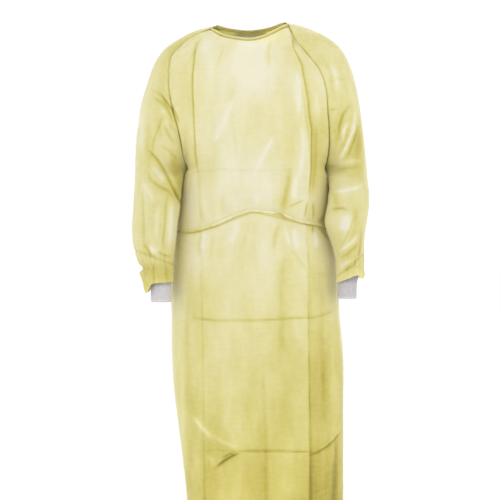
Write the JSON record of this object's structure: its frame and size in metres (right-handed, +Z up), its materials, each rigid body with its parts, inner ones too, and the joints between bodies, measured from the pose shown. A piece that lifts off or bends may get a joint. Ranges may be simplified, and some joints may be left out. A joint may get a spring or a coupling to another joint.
{
  "type": "disposable gown",
  "caption": "Long-sleeved isolation gown of thin non-woven cloth, worn shape, with raglan sleeves, knit cuffs, bound neck, lapped back and tied waist.",
  "frame": {"origin": "midway between the shoulders at the height of the neck points, where the wearer's shoulders hold the gown", "axes": "+Z up along the gown's length, the front faces -Y, +X is the wearer's left"},
  "size_m": [0.563, 0.284, 1.2308],
  "materials": {
    "nonwoven": "thin spunbond polypropylene, soft satin sheen",
    "knit": "matt rib knit"
  },
  "bodies": {
    "root": {"front_panel": "nonwoven", "back_panel_right": "nonwoven", "back_panel_left": "nonwoven", "sleeve_right": "nonwoven", "sleeve_left": "nonwoven", "neck_binding": "nonwoven", "waist_tie": "nonwoven", "waist_knot": "nonwoven", "waist_tie_end_right": "nonwoven", "waist_tie_end_left": "nonwoven", "neck_knot": "nonwoven", "neck_tie_end_right": "nonwoven", "neck_tie_end_left": "nonwoven", "cuff_right": "knit", "cuff_left": "knit"}
  },
  "joints": []
}
